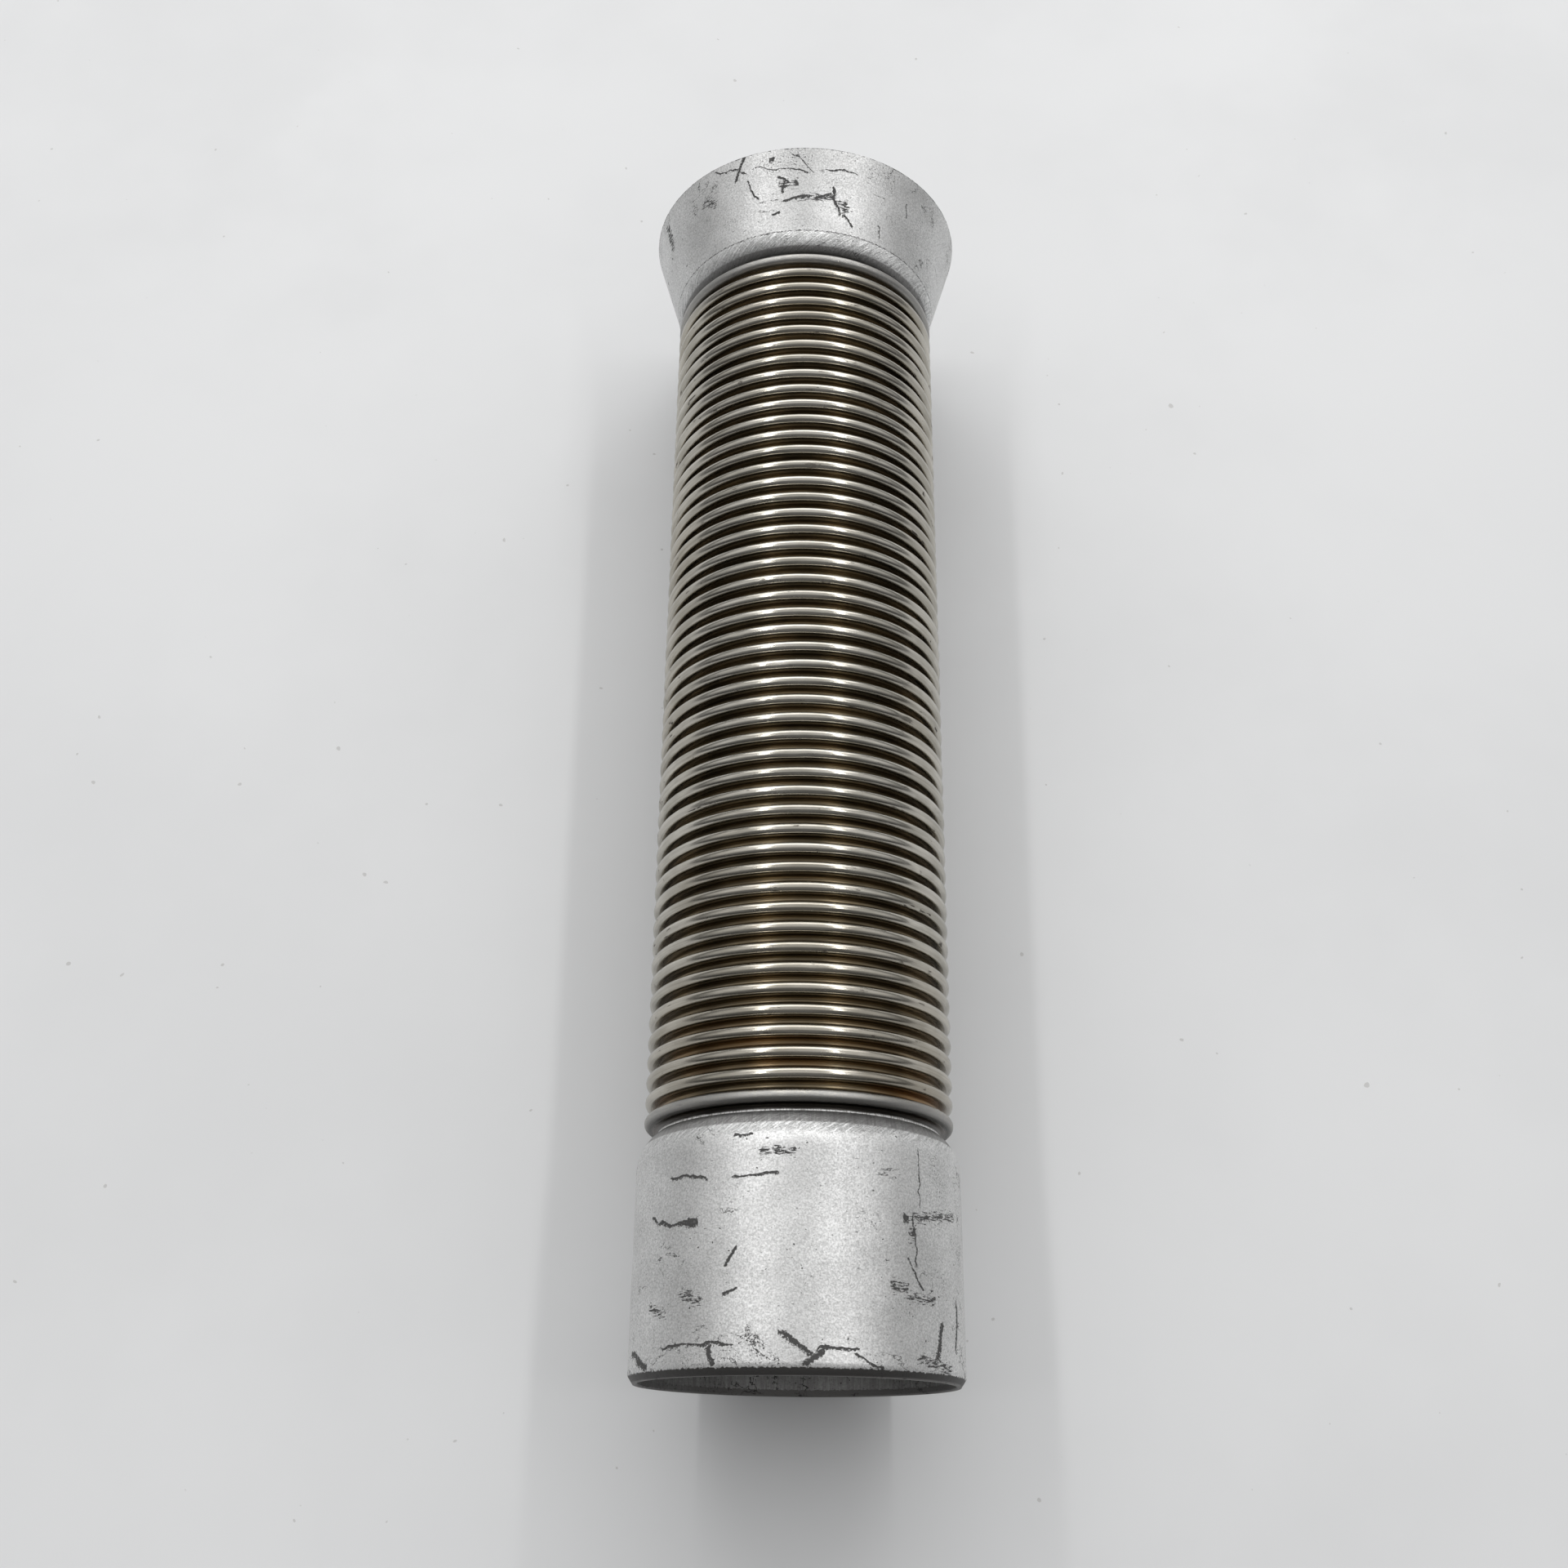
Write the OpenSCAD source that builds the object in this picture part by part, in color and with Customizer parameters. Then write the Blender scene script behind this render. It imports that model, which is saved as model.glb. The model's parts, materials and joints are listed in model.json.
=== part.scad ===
// Metal bellows expansion joint: a gas-tight flexible exhaust pipe.
// A corrugated bellows joins a plain sleeve to a flared collar, over an interlocked liner.
// The pipe lies along +Y with +Z up. The origin is the centre of the sleeve's open end.
// All sizes are in millimetres.

/* [Pipe ends] */

// Outside diameter of the straight sleeve
sleeve_d = 101.6; // [101:0.1:103]
// Wall of the sleeve and of the flared collar
end_wall = 3; // [2.5:0.1:3.5]
// Distance from the open end of the sleeve to the first crest
sleeve_reach = 77.5; // [50:0.5:120]
// Distance from the last crest to the rim of the flare
flare_reach = 42.2; // [35:0.1:60]
// Outside diameter of the rim of the flare
flare_rim_d = 118; // [112:0.5:124]
// Outside diameter of the flare where its cone starts
flare_corner_d = 100; // [99:0.5:101]

/* [Bellows] */

// Outside diameter over the crests
bellows_d = 98; // [97.5:0.1:98.5]
// Height of a convolution, from root to crest
depth = 5; // [4.8:0.1:5.2]
// Distance from one crest to the next
pitch = 6.44; // [6.4:0.02:6.8]
// Radius over the outside of a crest
crest_round = 1.85; // [1.8:0.01:1.9]
// Wall of the bellows, both plies together
ply_wall = 0.6; // [0.5:0.05:0.65]

/* [Liner] */

// Inside diameter of the liner
liner_bore = 77; // [74:0.5:78]
// Thickness of the wound strip
strip = 0.5; // [0.4:0.05:0.6]

/* [Hidden] */

$fn = 96;

// The flexible length is divided at every second root, one pack of crests between two cuts.
pack_count = 23;
crests_in_pack = 2;
sleeve_side_crests = 2;
flare_side_crests = 1;
cut_count = pack_count + 1;
crest_count = sleeve_side_crests + pack_count * crests_in_pack + flare_side_crests;

// Travel that every cut leaves free, with room to spare at the root's radius.
cut_gap = 1.8;
running_gap = 0.3;

// Bellows: the crest circle and the root circle touch the same upright flank.
crest_r = bellows_d / 2;
root_r = crest_r - depth;
root_round = pitch / 2 - crest_round;
crest_centre = crest_r - crest_round;
root_centre = root_r + root_round;
root_inside = root_r - ply_wall;

// A lip below each cut closes the root, as the unbroken wall does on the real bellows.
lip_wall = 0.4;
lip_out = under_root(cut_gap / 2) - running_gap;
lip_in = lip_out - lip_wall;
lip_reach = 2.4;
lip_foot = 0.8;

// Ends: the neck of either fitting starts just past the outermost root.
slip_gap = 0.05;
neck_start = pitch / 2 + 1;
neck_bore = root_r + slip_gap;
sleeve_r = sleeve_d / 2;
sleeve_shoulder_end = 15.4;
flare_rim_r = flare_rim_d / 2;
flare_corner_r = flare_corner_d / 2;
flare_shoulder_end = 10.9;
neck_edge_r = 44.7;
neck_edge_at = 3.9;
cuff_end = 7.3;
weld_leg = 0.8;
seam_weld_r = 0.75;

// Chamfers of the open sleeve end and of the flare's rim.
sleeve_chamfer = 1.6;
sleeve_chamfer_length = 2.4;
edge_break = 0.4;

// Liner: each turn hooks over the next one, with play between the hooks.
liner_in = liner_bore / 2;
liner_out = liner_in + strip;
hook_gap = 0.5;
hook_overlap = 0.4;
hook_rise = hook_gap + hook_overlap;
upper_in = liner_out + hook_rise + hook_gap;
upper_out = upper_in + strip;
hook_tip = 1.5;
riser_at = hook_tip + 2;
collar_out = root_inside - slip_gap;
collar_land = 2.2;
collar_cone = 4.5;

// Places along the pipe.
function crest_y(k) = sleeve_reach + k * pitch;
function cut_y(n) = crest_y(sleeve_side_crests - 0.5 + (n - 1) * crests_in_pack);
last_crest_y = crest_y(crest_count - 1);
pipe_length = last_crest_y + flare_reach;

// Radius of the bellows' inner surface near a root, at this distance from the root's plane.
function under_root(y) = root_centre - sqrt(pow(root_round + ply_wall, 2) - y * y);

// Radius of the arc that starts at the neck's edge and runs out level at the shoulder's end.
function shoulder_round(rise, run) = (rise * rise + run * run) / (2 * rise);

function two_digits(n) = str(n < 10 ? "0" : "", n);
function numbered(name, n) = str(name, "_", two_digits(n));

paint = [0.70, 0.71, 0.70];
stainless = [0.60, 0.56, 0.47];
liner_steel = [0.50, 0.50, 0.49];
weld_metal = [0.78, 0.77, 0.74];

// ---- Profiles. Each is drawn with X as the radius and Y as the place along the pipe. ----

// Turns a profile round the pipe's axis.
module turned() {
    rotate([-90, 0, 0])
        rotate_extrude()
            children();
}

// A rectangle from one corner to the other.
module block(r_from, y_from, r_to, y_to) {
    translate([r_from, y_from])
        square([r_to - r_from, y_to - y_from]);
}

// Draws a profile that is measured from the last crest outwards, at the sleeve's side.
module from_first_crest() {
    translate([0, sleeve_reach])
        mirror([0, 1])
            children();
}

// Draws a profile that is measured from the last crest outwards, at the flare's side.
module from_last_crest() {
    translate([0, last_crest_y])
        children();
}

// Half a ring of bellows wall: the top of a crest.
module crest_arc(y) {
    translate([crest_centre, y])
        intersection() {
            difference() {
                circle(r = crest_round);
                circle(r = crest_round - ply_wall);
            }
            block(0, -pitch, pitch, pitch);
        }
}

// The bottom of a root, between the two places given, measured from the root's own plane.
module root_arc(y, y_from, y_to) {
    translate([root_centre, y])
        intersection() {
            difference() {
                circle(r = root_round + ply_wall);
                circle(r = root_round);
            }
            block(-pitch, y_from, 0, y_to);
        }
}

// The two upright walls below a crest.
module flanks(y) {
    block(root_centre, y + crest_round - ply_wall, crest_centre, y + crest_round);
    block(root_centre, y - crest_round, crest_centre, y - crest_round + ply_wall);
}

// A run of crests with the whole roots between them and no root at either end.
module crests(first, last) {
    for (k = [first:last]) {
        crest_arc(crest_y(k));
        flanks(crest_y(k));
    }
    for (k = [first:1:last - 1])
        root_arc(crest_y(k + 0.5), -pitch, pitch);
}

// The root as far as a cut, at the end of a run with its crests above the cut.
module root_above_cut(n) {
    root_arc(cut_y(n), cut_gap / 2, pitch);
}

// The root as far as a cut, with the lip that reaches under the next pack.
module root_below_cut(n) {
    y = cut_y(n);
    foot = y - cut_gap / 2;
    root_arc(y, -pitch, -cut_gap / 2);
    block(lip_in, foot - lip_foot, root_r, foot);
    block(lip_in, foot, lip_out, y + lip_reach);
}

// The cuff beyond the outermost crest, measured from that crest outwards.
module cuff() {
    root_arc(pitch / 2, -pitch, 0);
    block(root_inside, pitch / 2, root_r, cuff_end);
}

// The curved wall of a fitting between its neck and its full size.
module shoulder(full_r, end) {
    round_r = shoulder_round(full_r - neck_edge_r, end - neck_edge_at);
    intersection() {
        translate([full_r - round_r, end])
            difference() {
                circle(r = round_r);
                circle(r = round_r - end_wall);
            }
        block(neck_bore, neck_start, full_r + 1, end);
    }
}

// A fillet weld between the bellows and the front of a fitting's neck.
module neck_weld() {
    translate([root_r, neck_start])
        intersection() {
            circle(r = weld_leg);
            block(0, -pitch, pitch, 0);
        }
}

// The edge weld over the ends of the cuff and the liner's collar.
module seam_weld() {
    translate([root_inside, cuff_end])
        intersection() {
            circle(r = seam_weld_r);
            block(-pitch, 0, pitch, pitch);
        }
}

// The end of a liner turn that lies inside its neighbour, with its hook turned out.
module lower_hook(cut) {
    block(liner_in, cut - hook_tip, liner_out + hook_rise, cut - hook_tip + strip);
}

// The end of a liner turn that lies over its neighbour, with its hook turned in.
module upper_hook(cut) {
    block(liner_in, cut - riser_at - strip, upper_out, cut - riser_at);
    block(upper_in, cut - riser_at, upper_out, cut + hook_tip);
    block(upper_in - hook_rise, cut + hook_tip - strip, upper_out, cut + hook_tip);
}

// The liner's flared end, which lies in the bellows' cuff, measured from the outermost crest. Its
// other edge, at wall_from, can be turned out by hook to hold the next turn.
module collar(wall_from, hook = 0) {
    cone_start = cuff_end - collar_land - collar_cone;
    collar_in = collar_out - strip;
    turned_edge = [
        [liner_out, wall_from + strip],
        [liner_out + hook, wall_from + strip],
        [liner_out + hook, wall_from]
    ];
    polygon(concat(
        [
            [liner_in, wall_from],
            [liner_in, cone_start],
            [collar_in, cuff_end - collar_land],
            [collar_in, cuff_end],
            [collar_out, cuff_end],
            [collar_out, cuff_end - collar_land],
            [liner_out, cone_start]
        ],
        hook > 0 ? turned_edge : [[liner_out, wall_from]]
    ));
}

// ---- Nodes ----

// The plain sleeve: a tube with a chamfered open end and a rounded shoulder.
module sleeve() {
    bore = sleeve_r - end_wall;
    color(paint)
        turned() {
            polygon([
                [bore + edge_break, 0],
                [sleeve_r - sleeve_chamfer, 0],
                [sleeve_r, sleeve_chamfer_length],
                [sleeve_r, sleeve_reach - sleeve_shoulder_end],
                [bore, sleeve_reach - sleeve_shoulder_end],
                [bore, edge_break]
            ]);
            from_first_crest()
                shoulder(sleeve_r, sleeve_shoulder_end);
        }
}

// The flared collar: a rounded shoulder that opens into a cone.
module flared_collar() {
    color(paint)
        turned()
            from_last_crest() {
                shoulder(flare_corner_r, flare_shoulder_end);
                polygon([
                    [flare_corner_r - end_wall, flare_shoulder_end],
                    [flare_corner_r, flare_shoulder_end],
                    [flare_rim_r, flare_reach - edge_break],
                    [flare_rim_r - edge_break, flare_reach],
                    [flare_rim_r - end_wall, flare_reach]
                ]);
            }
}

module sleeve_weld() {
    color(weld_metal)
        turned()
            from_first_crest()
                neck_weld();
}

module flare_weld() {
    color(weld_metal)
        turned()
            from_last_crest()
                neck_weld();
}

// The first crests and the cuff that is welded into the sleeve.
module bellows_sleeve_end() {
    color(stainless)
        turned() {
            from_first_crest()
                cuff();
            crests(0, sleeve_side_crests - 1);
            root_below_cut(1);
        }
}

// The last crest and the cuff that is welded into the flared collar.
module bellows_flare_end() {
    color(stainless)
        turned() {
            root_above_cut(cut_count);
            crests(crest_count - flare_side_crests, crest_count - 1);
            from_last_crest()
                cuff();
        }
}

// One pack of convolutions between two cuts.
module bellows_pack(n) {
    first = sleeve_side_crests + (n - 1) * crests_in_pack;
    color(stainless)
        turned() {
            root_above_cut(n);
            crests(first, first + crests_in_pack - 1);
            root_below_cut(n + 1);
        }
}

// The start of the liner: its flared end lies in the cuff at the sleeve.
module liner_sleeve_collar() {
    color(liner_steel)
        turned() {
            from_first_crest()
                collar(sleeve_reach - cut_y(1) + riser_at + strip);
            upper_hook(cut_y(1));
        }
}

// The end of the liner: its flared end lies in the cuff at the flare.
module liner_flare_collar() {
    color(liner_steel)
        turned()
            from_last_crest()
                collar(cut_y(cut_count) - hook_tip - last_crest_y, hook_rise);
}

// One turn of the interlocked liner.
module liner_turn(n) {
    color(liner_steel)
        turned() {
            lower_hook(cut_y(n));
            block(liner_in, cut_y(n) - hook_tip, liner_out, cut_y(n + 1) - riser_at);
            upper_hook(cut_y(n + 1));
        }
}

module liner_sleeve_weld() {
    color(weld_metal)
        turned()
            from_first_crest()
                seam_weld();
}

module liner_flare_weld() {
    color(weld_metal)
        turned()
            from_last_crest()
                seam_weld();
}

sleeve();
flared_collar();
sleeve_weld();
flare_weld();
bellows_sleeve_end();
bellows_flare_end();
liner_sleeve_collar();
liner_flare_collar();
liner_sleeve_weld();
liner_flare_weld();
for (n = [1:pack_count]) {
    bellows_pack(n);
    liner_turn(n);
}
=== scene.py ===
"""Looks for the metal bellows expansion joint: painted ends, a formed steel bellows and its liner.

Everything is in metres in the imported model's frame: the pipe lies along +Y and the sleeve's open
end is at the origin. Thin details are given in millimetres and turned into metres by MM.
"""

import json
import math

import bpy
import numpy as np
from mathutils import Matrix, Vector

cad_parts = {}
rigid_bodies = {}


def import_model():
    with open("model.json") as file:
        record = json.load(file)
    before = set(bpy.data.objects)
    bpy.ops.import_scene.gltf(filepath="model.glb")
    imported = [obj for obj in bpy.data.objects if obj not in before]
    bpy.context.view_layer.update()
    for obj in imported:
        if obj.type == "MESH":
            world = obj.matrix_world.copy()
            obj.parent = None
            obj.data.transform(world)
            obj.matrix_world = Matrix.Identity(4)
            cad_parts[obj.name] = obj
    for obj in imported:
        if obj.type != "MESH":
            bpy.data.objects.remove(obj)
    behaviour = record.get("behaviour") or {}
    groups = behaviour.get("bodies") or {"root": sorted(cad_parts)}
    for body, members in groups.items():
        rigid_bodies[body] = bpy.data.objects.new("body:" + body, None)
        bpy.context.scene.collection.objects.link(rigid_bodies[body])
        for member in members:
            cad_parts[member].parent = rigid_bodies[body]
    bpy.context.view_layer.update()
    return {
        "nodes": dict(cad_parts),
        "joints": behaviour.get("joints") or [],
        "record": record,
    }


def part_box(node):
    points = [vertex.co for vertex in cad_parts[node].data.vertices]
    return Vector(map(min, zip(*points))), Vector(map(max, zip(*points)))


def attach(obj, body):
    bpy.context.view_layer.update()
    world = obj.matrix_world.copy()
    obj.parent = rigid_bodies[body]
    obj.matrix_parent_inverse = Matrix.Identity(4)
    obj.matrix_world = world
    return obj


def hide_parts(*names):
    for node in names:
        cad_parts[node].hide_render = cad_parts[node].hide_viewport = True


MM = 0.001
SEED = 41

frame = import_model()

# ---- Sizes read from the frame ----

MOUNTS = {mount["name"]: mount for mount in frame["record"]["mounts"]}
SLEEVE_R = MOUNTS["clamp_seat"]["dims"]["r_mm"] * MM
SLEEVE_BORE = MOUNTS["pipe_socket"]["dims"]["r_mm"] * MM
END_WALL = SLEEVE_R - SLEEVE_BORE
PIPE_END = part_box("flared_collar")[1].y
FLARE_RIM_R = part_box("flared_collar")[1].x
CREST_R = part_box("bellows_pack_01")[1].x

# ---- Sizes of the formed shapes ----

PITCH = 6.44 * MM
CREST_COUNT = 49
CRESTS_BEFORE_FIRST_CUT = 2
CRESTS_IN_PACK = 2
DEPTH = 5.0 * MM
CREST_ROUND = 1.85 * MM
ROOT_ROUND = PITCH / 2 - CREST_ROUND
PLY_WALL = 0.6 * MM
END_GAP = 0.01 * MM
ROOT_R = CREST_R - DEPTH

FIRST_CREST = 77.5 * MM
LAST_CREST = FIRST_CREST + (CREST_COUNT - 1) * PITCH
NECK_START = PITCH / 2 + 1.0 * MM
NECK_BORE = ROOT_R + 0.05 * MM
NECK_EDGE_R = 44.7 * MM
NECK_EDGE_AT = 3.9 * MM
CUFF_END = 7.3 * MM
SLEEVE_SHOULDER_END = 15.4 * MM
FLARE_SHOULDER_END = 10.9 * MM
FLARE_CORNER_R = 50.0 * MM
CHAMFER = 1.6 * MM
CHAMFER_LENGTH = 2.4 * MM
EDGE_BREAK = 0.4 * MM
WELD_R = 0.62 * MM
WELD_OUT = 0.34 * MM
WELD_UP = 0.36 * MM

SLEEVE_NECK_AT = FIRST_CREST - NECK_START
FLARE_NECK_AT = LAST_CREST + NECK_START

# How finely the lathed outlines are divided, round the pipe and along each part of the profile
TURN_STEPS = 240
ROOT_STEPS = 5
CREST_STEPS = 10
CUFF_STEPS = 4
SHOULDER_STEPS = 14
SLEEVE_STEPS = 48
CONE_STEPS = 30
WELD_POINTS = 12
SHARP_EDGE = math.radians(38)


# ---- Mesh work ----


def lathe(name, loop, bend_point=None, steps=TURN_STEPS):
    """A closed ring round the pipe's axis. loop is a list of (place along the pipe, radius).

    bend_point(y, radius, angle) may return changed arrays, for dents and other unevenness.
    """
    loop = np.array(loop, float)
    angle = np.linspace(0, 2 * math.pi, steps, endpoint=False)
    y = np.repeat(loop[:, 0:1], steps, axis=1)
    radius = np.repeat(loop[:, 1:2], steps, axis=1)
    angle = np.repeat(angle[None, :], len(loop), axis=0)
    if bend_point:
        y, radius = bend_point(y, radius, angle)
    points = np.stack([radius * np.sin(angle), y, radius * np.cos(angle)], axis=-1).reshape(-1, 3)
    row = np.arange(len(loop))[:, None] * steps
    next_row = np.roll(np.arange(len(loop)), -1)[:, None] * steps
    column = np.arange(steps)[None, :]
    next_column = np.roll(np.arange(steps), -1)[None, :]
    corners = [row + column, row + next_column, next_row + next_column, next_row + column]
    faces = np.stack(corners, axis=-1).reshape(-1, 4)
    return ring_object(name, points, faces)


def ring_object(name, points, faces):
    """An object from points and quads, smooth shaded, with its rest shape kept for textures."""
    mesh = bpy.data.meshes.new(name)
    mesh.from_pydata(points.tolist(), [], faces.tolist())
    if signed_volume(points, faces) < 0:
        mesh.flip_normals()
    mesh.polygons.foreach_set("use_smooth", np.ones(len(faces), bool))
    mesh.set_sharp_from_angle(angle=SHARP_EDGE)
    rest = mesh.attributes.new("rest", "FLOAT_VECTOR", "POINT")
    rest.data.foreach_set("vector", points.astype(np.float32).ravel())
    mesh.update()
    piece = bpy.data.objects.new(name, mesh)
    bpy.context.scene.collection.objects.link(piece)
    return piece


def signed_volume(points, faces):
    """Six times the volume that a closed quad mesh holds, below zero if its faces look inwards."""
    a, b, c, d = (points[faces[:, n]] for n in range(4))
    return (np.einsum("ij,ij->i", a, np.cross(b, c)) + np.einsum("ij,ij->i", a, np.cross(c, d))).sum()


def spread(start, end, count):
    """count + 1 evenly spaced places, both ends included."""
    return [start + (end - start) * n / count for n in range(count + 1)]


def arc(centre_y, centre_r, round_r, start, end, count):
    """Points on a circle in the profile plane. Angle 0 points along the pipe and 90 outwards."""
    return [
        (centre_y + round_r * math.cos(math.radians(a)), centre_r + round_r * math.sin(math.radians(a)))
        for a in spread(start, end, count)
    ]


def crest_y(k):
    return FIRST_CREST + k * PITCH


def cut_y(n):
    return crest_y(CRESTS_BEFORE_FIRST_CUT - 0.5 + (n - 1) * CRESTS_IN_PACK)


def wave(first, last, inset):
    """One side of the corrugated wall, from the root before crest first to the root after last."""
    crest_round, root_round = CREST_ROUND - inset, ROOT_ROUND + inset
    crest_centre, root_centre = CREST_R - CREST_ROUND, ROOT_R + ROOT_ROUND
    points = []
    for k in range(first, last + 1):
        y = crest_y(k)
        points += arc(y - PITCH / 2, root_centre, root_round, -90, 0, ROOT_STEPS)
        points += arc(y, crest_centre, crest_round, 180, 0, CREST_STEPS)
        points += arc(y + PITCH / 2, root_centre, root_round, 180, 270, ROOT_STEPS)[:-1]
    points.append((crest_y(last + 0.5), ROOT_R - inset))
    return points


def shoulder_round(full_r, end):
    """Radius of the arc from the neck's edge to the place where the wall runs level."""
    rise, run = full_r - NECK_EDGE_R, end - NECK_EDGE_AT
    return (rise * rise + run * run) / (2 * rise)


def shoulder_arc(full_r, end, inset, stop_r=None, stop_at=None):
    """The shoulder's profile as (distance beyond the outermost crest, radius), from the neck out."""
    round_r = shoulder_round(full_r, end)
    wall_r = round_r - inset
    centre_r = full_r - round_r
    start = math.acos((end - stop_at) / wall_r) if stop_at else math.asin((stop_r - centre_r) / wall_r)
    return [
        (end - wall_r * math.cos(a), centre_r + wall_r * math.sin(a))
        for a in spread(start, math.pi / 2, SHOULDER_STEPS)
    ]


# ---- Unevenness ----

# Knocks as (mm from the open end, degrees round from the top, depth in mm, width in mm)
SLEEVE_KNOCKS = [
    (26, 22, 0.45, 7),
    (43, 18, 0.35, 6),
    (14, 38, 0.40, 6),
    (30, -32, 0.30, 9),
    (52, -8, 0.25, 8),
    (35, 140, 0.40, 8),
    (20, -120, 0.35, 7),
]
FLARE_KNOCKS = [
    (14, 12, 0.35, 6),
    (9, -30, 0.30, 6),
    (18, 80, 0.35, 7),
    (12, 170, 0.35, 7),
]
SLEEVE_OVAL = 0.12 * MM
FLARE_OVAL = 0.10 * MM
OVAL_TURN = 0.6  # radians

CREST_SHIFT = 0.07 * MM
CREST_SWELL = 0.035 * MM
CREST_SWAY = 0.05 * MM
CREST_RIPPLE = 0.02 * MM
CREST_DROP = 0.04 * MM
NICK_COUNT = 46
NICK_WIDTHS = (1.2, 4.0)  # mm
NICK_DEPTHS = (0.10, 0.35)  # mm

# A bead's ripples as (how many round the pipe, how much they swell it), and its size between them
BEAD_RIPPLES = ((3, 0.10), (7, 0.08), (13, 0.07), (29, 0.06), (61, 0.05))
BEAD_SIZE = 0.92


def angle_between(angle, other):
    """The turn from one angle to another, from -pi to pi."""
    return (angle - other + math.pi) % (2 * math.pi) - math.pi


class Dents:
    """Makes a fitting a little oval and gives it a few shallow knocks."""

    def __init__(self, knocks, oval, open_end):
        self.knocks = knocks
        self.oval = oval
        self.open_end = open_end

    def __call__(self, y, radius, angle):
        moved = radius + self.oval * np.cos(2 * angle + OVAL_TURN)
        for at, turn, depth, width in self.knocks:
            across = angle_between(angle, math.radians(turn)) * radius
            away = (np.abs(y - self.open_end) - at * MM) ** 2 + across**2
            moved = moved - depth * MM * np.exp(-away / (2 * (width * MM) ** 2))
        return y, moved


def crest_unevenness(y, radius, angle):
    """Each crest sits a hair off its place, and some carry small nicks."""
    rng = np.random.default_rng(SEED)
    shift = rng.normal(0, CREST_SHIFT, CREST_COUNT)
    swell = rng.normal(0, CREST_SWELL, CREST_COUNT)
    phase = rng.uniform(0, 2 * math.pi, CREST_COUNT)
    k = np.clip(np.rint((y - FIRST_CREST) / PITCH).astype(int), 0, CREST_COUNT - 1)
    height = np.clip((radius - ROOT_R) / DEPTH, 0, 1)
    sway = CREST_SWAY * np.sin(angle + phase[k]) + CREST_RIPPLE * np.sin(5 * angle + 3 * phase[k])
    new_y = y + height * (shift[k] + sway)
    new_radius = radius + height * (swell[k] - CREST_DROP)
    for _ in range(NICK_COUNT):
        nick_k = rng.integers(0, CREST_COUNT)
        nick_angle = rng.uniform(-math.pi, math.pi)
        nick_width = rng.uniform(*NICK_WIDTHS) * MM
        nick_depth = rng.uniform(*NICK_DEPTHS) * MM
        across = angle_between(angle, nick_angle) * CREST_R
        near = np.exp(-(across**2) / (2 * nick_width**2)) * (k == nick_k)
        new_radius = new_radius - near * nick_depth * height**3
    return new_y, new_radius


def bead_unevenness(y, radius, angle):
    """The laid ripples of a weld, which also wanders a little."""
    rng = np.random.default_rng(SEED + 1)
    swell = np.zeros_like(angle)
    for waves, size in BEAD_RIPPLES:
        swell = swell + size * np.sin(waves * angle + rng.uniform(0, 2 * math.pi))
    middle_y, middle_r = y.mean(), radius.mean()
    scale = BEAD_SIZE + swell
    return middle_y + (y - middle_y) * scale, middle_r + (radius - middle_r) * scale


# ---- Pieces ----


def sleeve_piece():
    """The painted sleeve, with the knocks and the slightly oval shape of a handled tube."""
    straight_end = FIRST_CREST - SLEEVE_SHOULDER_END
    outside = [(y, SLEEVE_R) for y in spread(CHAMFER_LENGTH, straight_end, SLEEVE_STEPS)]
    shoulder = [
        (FIRST_CREST - beyond, r)
        for beyond, r in reversed(shoulder_arc(SLEEVE_R, SLEEVE_SHOULDER_END, 0, stop_at=NECK_START))
    ]
    inner_shoulder = [
        (FIRST_CREST - beyond, r)
        for beyond, r in shoulder_arc(SLEEVE_R, SLEEVE_SHOULDER_END, END_WALL, stop_r=NECK_BORE)
    ]
    inside = [(y, SLEEVE_BORE) for y in spread(straight_end, EDGE_BREAK, SLEEVE_STEPS)]
    loop = (
        [(0, SLEEVE_BORE + EDGE_BREAK), (0, SLEEVE_R - CHAMFER)]
        + outside
        + shoulder[1:]
        + [(SLEEVE_NECK_AT, NECK_BORE)]
        + inner_shoulder
        + inside[1:]
    )
    piece = lathe("sleeve_shell", loop, Dents(SLEEVE_KNOCKS, SLEEVE_OVAL, open_end=0))
    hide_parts("sleeve")
    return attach(piece, "sleeve_end")


def flare_piece():
    """The painted flare: a rounded shoulder, a crease, and the open cone."""
    rim_edge_at = PIPE_END - EDGE_BREAK
    shoulder = [
        (LAST_CREST + beyond, r)
        for beyond, r in shoulder_arc(FLARE_CORNER_R, FLARE_SHOULDER_END, 0, stop_at=NECK_START)
    ]
    inner_shoulder = [
        (LAST_CREST + beyond, r)
        for beyond, r in reversed(
            shoulder_arc(FLARE_CORNER_R, FLARE_SHOULDER_END, END_WALL, stop_r=NECK_BORE)
        )
    ]
    corner_at = LAST_CREST + FLARE_SHOULDER_END
    places = spread(corner_at, rim_edge_at, CONE_STEPS)
    slope = (FLARE_RIM_R - FLARE_CORNER_R) / (rim_edge_at - corner_at)
    cone = [(y, FLARE_CORNER_R + slope * (y - corner_at)) for y in places]
    inner_cone = [(y, r - END_WALL) for y, r in reversed(cone)]
    loop = (
        [(FLARE_NECK_AT, NECK_BORE)]
        + shoulder
        + cone[1:]
        + [(PIPE_END, FLARE_RIM_R - EDGE_BREAK), (PIPE_END, FLARE_RIM_R - END_WALL + EDGE_BREAK)]
        + inner_cone
        + inner_shoulder[1:]
    )
    piece = lathe("flare_shell", loop, Dents(FLARE_KNOCKS, FLARE_OVAL, open_end=PIPE_END))
    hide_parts("flared_collar")
    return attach(piece, "flare_end")


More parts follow.
